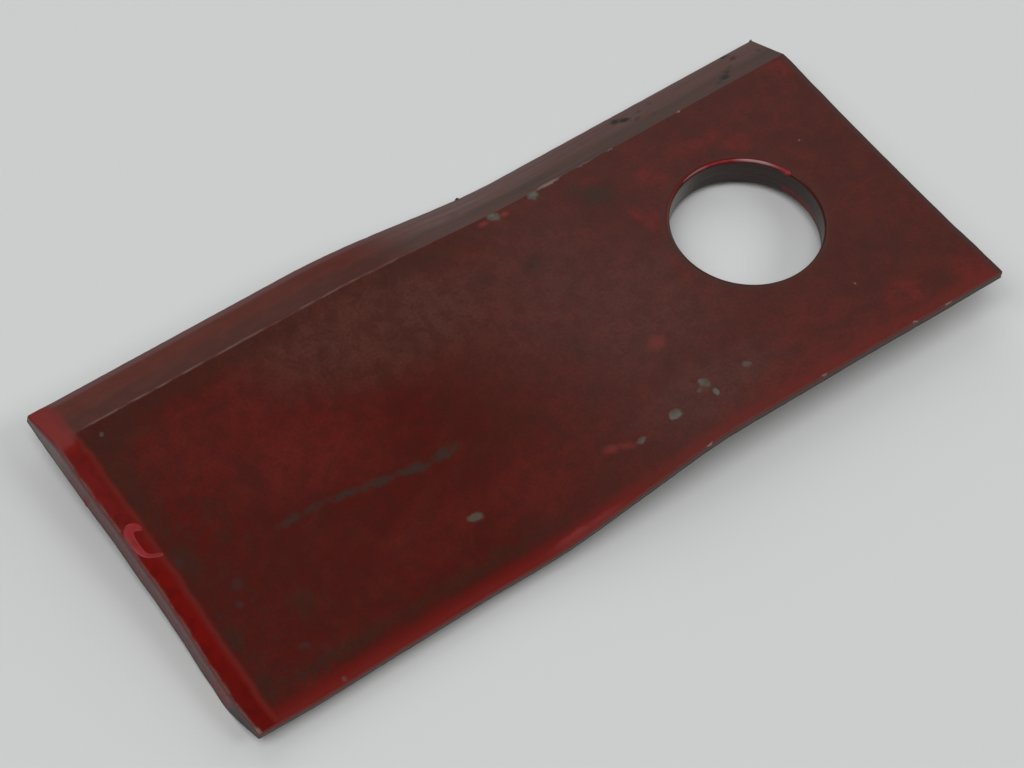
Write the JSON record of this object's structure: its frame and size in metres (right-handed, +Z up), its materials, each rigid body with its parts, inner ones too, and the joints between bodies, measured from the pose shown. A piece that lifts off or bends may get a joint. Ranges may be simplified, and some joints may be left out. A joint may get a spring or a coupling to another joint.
{
  "type": "rotary mower blade",
  "caption": "Twisted flat steel blade for a rotary disc mower, with ground bevels on opposite faces along its long edges, a round bolt hole near the square end and worn red paint.",
  "frame": {"origin": "on the ground, under the middle of the blade's box as it lies at rest", "axes": "+X along the blade towards the hole end, +Y across it towards the edge whose bevel faces up, +Z up through its thickness"},
  "size_m": [0.11, 0.0482, 0.0077],
  "materials": {
    "blade": "worn dark red paint over steel, satin, rubbed brown and chipped to bare metal along the ground edges"
  },
  "bodies": {
    "root": {"blade": "blade"}
  },
  "joints": []
}
